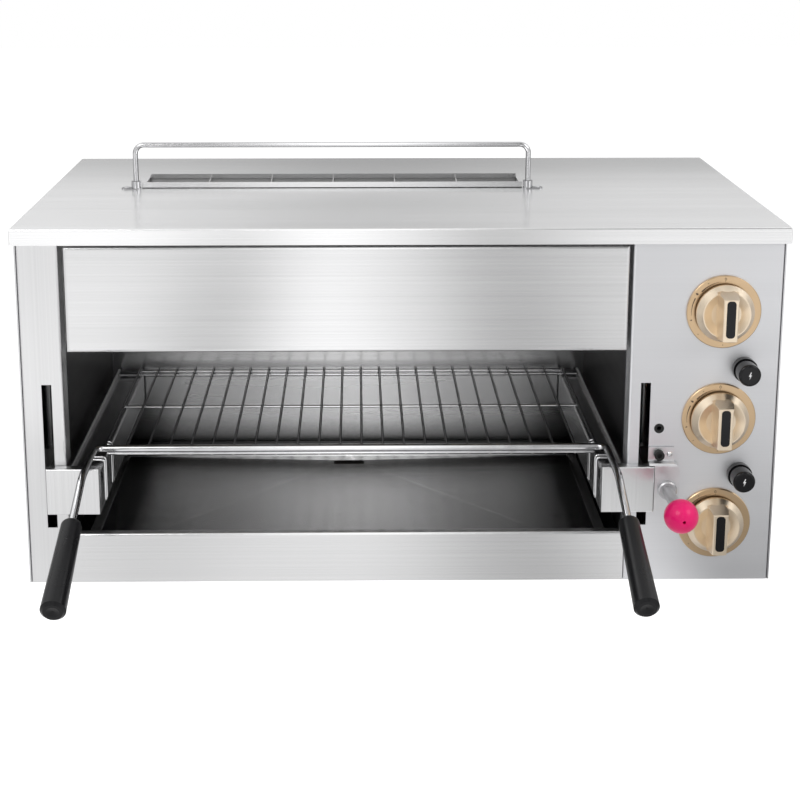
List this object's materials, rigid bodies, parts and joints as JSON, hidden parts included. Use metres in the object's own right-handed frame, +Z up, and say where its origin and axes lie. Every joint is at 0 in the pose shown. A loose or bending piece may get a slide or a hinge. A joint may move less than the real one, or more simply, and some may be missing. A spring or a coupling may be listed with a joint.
{
  "type": "gas salamander grill",
  "caption": "Stainless countertop gas cheese melter with a height adjustable wire rack under infrared burners, drip tray and right hand controls.",
  "frame": {"origin": "on the underside of the base panel, in the middle of the casing's footprint", "axes": "+X to the right of a person who faces the front, +Y to the rear, +Z up"},
  "size_m": [0.808, 0.7049, 0.445],
  "materials": {
    "casing_steel": "brushed",
    "panel_steel": "fine satin",
    "front_steel": "brushed",
    "cap_steel": "brushed",
    "liner_steel": "mill",
    "tray_steel": "brushed",
    "rail_chrome": "polished",
    "burner_iron": "cast",
    "burner_ceramic": "matt ceramic",
    "burner_mesh": "heat stained",
    "electrode_ceramic": "glazed ceramic",
    "pipe_steel": "plain",
    "tap_brass": "machined",
    "tube_copper": "drawn",
    "guide_steel": "ground",
    "block_steel": "satin",
    "carrier_steel": "bright",
    "lever_steel": "polished",
    "lever_aluminium": "satin turned",
    "ball_plastic": "gloss",
    "plunger_black": "blackened",
    "rack_chrome": "polished",
    "grip_black": "satin",
    "bezel_gold": "anodised",
    "knob_gold": "anodised",
    "insert_black": "gloss",
    "spindle_steel": "turned",
    "button_black": "gloss"
  },
  "bodies": {
    "casing": {"base_panel": "casing_steel", "burner_bodies": "burner_iron", "burner_ceramics": "burner_ceramic", "burner_deck": "liner_steel", "burner_screens": "burner_mesh", "casing_screws": "rail_chrome", "control_panel": "panel_steel", "detent_bushes": "plunger_black", "dial_bezels": "bezel_gold", "electrodes_and_sensors": "electrode_ceramic", "flue_duct": "liner_steel", "gallery_rail": "rail_chrome", "gas_feed_tubes": "tube_copper", "gas_manifold": "pipe_steel", "gas_taps": "tap_brass", "grease_cup": "tray_steel", "guide_brackets": "guide_steel", "guide_rods": "guide_steel", "hood_front_panel": "front_steel", "igniter_sleeves": "button_black", "left_front_post": "casing_steel", "left_side_panel": "casing_steel", "liner_left": "liner_steel", "liner_rear": "liner_steel", "liner_right": "liner_steel", "lower_front_panel": "front_steel", "rear_panel": "casing_steel", "right_side_panel": "casing_steel", "top_cap": "cap_steel", "tray_rails": "tray_steel"},
    "lift": {"left_carriage": "guide_steel", "right_carriage": "guide_steel", "left_front_block": "block_steel", "right_front_block": "block_steel", "left_carrier": "carrier_steel", "right_carrier": "carrier_steel", "cross_tie_bar": "guide_steel", "lever_arm": "lever_steel", "lever_rod": "lever_aluminium", "lever_ball": "ball_plastic", "detent_plunger": "plunger_black"},
    "rack": {"rack_grid": "rack_chrome", "rack_frame": "rack_chrome", "left_grip": "grip_black", "right_grip": "grip_black"},
    "tray": {"drip_tray": "tray_steel"},
    "tap_collar_1": {"return_collar_1": "spindle_steel"},
    "control_knob_1": {"knob_1": "knob_gold", "knob_insert_1": "insert_black", "spindle_1": "spindle_steel"},
    "tap_collar_2": {"return_collar_2": "spindle_steel"},
    "control_knob_2": {"knob_2": "knob_gold", "knob_insert_2": "insert_black", "spindle_2": "spindle_steel"},
    "tap_collar_3": {"return_collar_3": "spindle_steel"},
    "control_knob_3": {"knob_3": "knob_gold", "knob_insert_3": "insert_black", "spindle_3": "spindle_steel"},
    "igniter_1": {"igniter_button_1": "button_black"},
    "igniter_2": {"igniter_button_2": "button_black"}
  },
  "joints": [
    {"name": "lift_slide", "type": "slide", "parent": "casing", "child": "lift", "axis": [0, 0, 1], "range_m": [-0.018, 0.088]},
    {"name": "rack_slide", "type": "slide", "parent": "lift", "child": "rack", "axis": [0, -1, 0], "range_m": [0, 0.25]},
    {"name": "tray_lift", "type": "slide", "parent": "casing", "child": "tray", "axis": [0, 0, 1], "range_m": [0, 0.028]},
    {"name": "tap_push_1", "type": "slide", "parent": "casing", "child": "tap_collar_1", "axis": [0, 1, 0], "range_m": [0, 0.003], "stiffness_N_per_m": 1500, "springref_m": -0.003},
    {"name": "knob_turn_1", "type": "hinge", "parent": "tap_collar_1", "child": "control_knob_1", "pos_m": [0.337, -0.231, 0.3], "axis": [0, -1, 0], "range_deg": [0, 210]},
    {"name": "tap_push_2", "type": "slide", "parent": "casing", "child": "tap_collar_2", "axis": [0, 1, 0], "range_m": [0, 0.003], "stiffness_N_per_m": 1500, "springref_m": -0.003},
    {"name": "knob_turn_2", "type": "hinge", "parent": "tap_collar_2", "child": "control_knob_2", "pos_m": [0.337, -0.231, 0.183], "axis": [0, -1, 0], "range_deg": [0, 210]},
    {"name": "tap_push_3", "type": "slide", "parent": "casing", "child": "tap_collar_3", "axis": [0, 1, 0], "range_m": [0, 0.003], "stiffness_N_per_m": 1500, "springref_m": -0.003},
    {"name": "knob_turn_3", "type": "hinge", "parent": "tap_collar_3", "child": "control_knob_3", "pos_m": [0.337, -0.231, 0.066], "axis": [0, -1, 0], "range_deg": [0, 210]},
    {"name": "igniter_push_1", "type": "slide", "parent": "casing", "child": "igniter_1", "axis": [0, 1, 0], "range_m": [0, 0.007], "stiffness_N_per_m": 800, "springref_m": -0.003},
    {"name": "igniter_push_2", "type": "slide", "parent": "casing", "child": "igniter_2", "axis": [0, 1, 0], "range_m": [0, 0.007], "stiffness_N_per_m": 800, "springref_m": -0.003}
  ]
}
